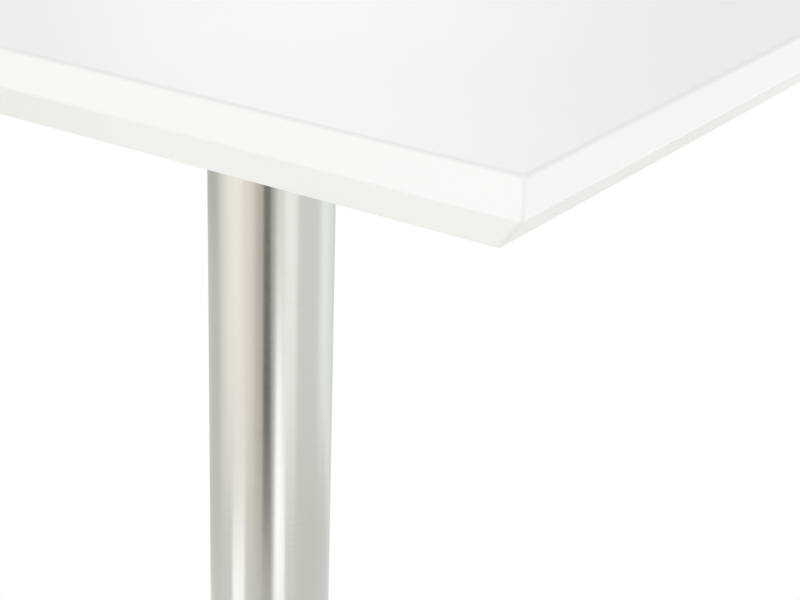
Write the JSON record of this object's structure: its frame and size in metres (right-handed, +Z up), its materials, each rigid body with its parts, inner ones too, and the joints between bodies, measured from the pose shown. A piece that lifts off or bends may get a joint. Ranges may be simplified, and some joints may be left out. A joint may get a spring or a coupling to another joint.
{
  "type": "bar table",
  "caption": "Square white bar-height table: a board with a bevelled edge on a round brushed steel column and a domed round base with levelling feet.",
  "frame": {"origin": "on the floor, under the centre line of the column", "axes": "+Z up along the column; X and Y along the sides of the board, with -Y the front"},
  "size_m": [0.6, 0.6, 1.11],
  "materials": {
    "white_lacquer": "white gloss lacquer sprayed on medium-density fibreboard",
    "brass": "turned brass",
    "zinc_plated_steel": "bright zinc plate on steel",
    "black_powder_coat": "fine-textured black powder coat on steel",
    "brushed_stainless": "satin brushed stainless steel",
    "black_vinyl": "extruded soft black vinyl",
    "black_cast_iron": "sand-cast iron, black dipped",
    "black_nylon": "moulded black nylon"
  },
  "bodies": {
    "table": {"tabletop": "white_lacquer", "board_inserts": "brass", "board_screws": "zinc_plated_steel", "board_screw_washers": "zinc_plated_steel", "mounting_plate": "black_powder_coat", "plate_socket": "black_powder_coat", "column_tube": "brushed_stainless", "column_rosette": "brushed_stainless", "tie_rod": "zinc_plated_steel", "tie_rod_nuts": "zinc_plated_steel", "tie_rod_washers": "zinc_plated_steel", "base_cover": "brushed_stainless", "base_edge_trim": "black_vinyl", "base_casting": "black_cast_iron", "column_spigot": "zinc_plated_steel"},
    "foot_pad_rear_right": {"foot_pad_rear_right": "black_nylon"},
    "foot_stud_rear_right": {"foot_stud_rear_right": "zinc_plated_steel"},
    "foot_pad_rear_left": {"foot_pad_rear_left": "black_nylon"},
    "foot_stud_rear_left": {"foot_stud_rear_left": "zinc_plated_steel"},
    "foot_pad_front_left": {"foot_pad_front_left": "black_nylon"},
    "foot_stud_front_left": {"foot_stud_front_left": "zinc_plated_steel"},
    "foot_pad_front_right": {"foot_pad_front_right": "black_nylon"},
    "foot_stud_front_right": {"foot_stud_front_right": "zinc_plated_steel"}
  },
  "joints": [
    {"name": "rear_right_foot_travel", "type": "slide", "parent": "table", "child": "foot_pad_rear_right", "axis": [0, 0, -1], "range_m": [0, 0.00625]},
    {"name": "rear_right_foot_screw", "type": "hinge", "parent": "foot_pad_rear_right", "child": "foot_stud_rear_right", "pos_m": [0.13364, 0.13364, 0.012], "axis": [0, 0, -1], "range_deg": [0, 1800]},
    {"name": "rear_left_foot_travel", "type": "slide", "parent": "table", "child": "foot_pad_rear_left", "axis": [0, 0, -1], "range_m": [0, 0.00625]},
    {"name": "rear_left_foot_screw", "type": "hinge", "parent": "foot_pad_rear_left", "child": "foot_stud_rear_left", "pos_m": [-0.13364, 0.13364, 0.012], "axis": [0, 0, -1], "range_deg": [0, 1800]},
    {"name": "front_left_foot_travel", "type": "slide", "parent": "table", "child": "foot_pad_front_left", "axis": [0, 0, -1], "range_m": [0, 0.00625]},
    {"name": "front_left_foot_screw", "type": "hinge", "parent": "foot_pad_front_left", "child": "foot_stud_front_left", "pos_m": [-0.13364, -0.13364, 0.012], "axis": [0, 0, -1], "range_deg": [0, 1800]},
    {"name": "front_right_foot_travel", "type": "slide", "parent": "table", "child": "foot_pad_front_right", "axis": [0, 0, -1], "range_m": [0, 0.00625]},
    {"name": "front_right_foot_screw", "type": "hinge", "parent": "foot_pad_front_right", "child": "foot_stud_front_right", "pos_m": [0.13364, -0.13364, 0.012], "axis": [0, 0, -1], "range_deg": [0, 1800]}
  ],
  "couplings": [
    {"joint": "rear_right_foot_travel", "follows": "rear_right_foot_screw", "m_per_rad": 0.00019894},
    {"joint": "rear_left_foot_travel", "follows": "rear_left_foot_screw", "m_per_rad": 0.00019894},
    {"joint": "front_left_foot_travel", "follows": "front_left_foot_screw", "m_per_rad": 0.00019894},
    {"joint": "front_right_foot_travel", "follows": "front_right_foot_screw", "m_per_rad": 0.00019894}
  ]
}
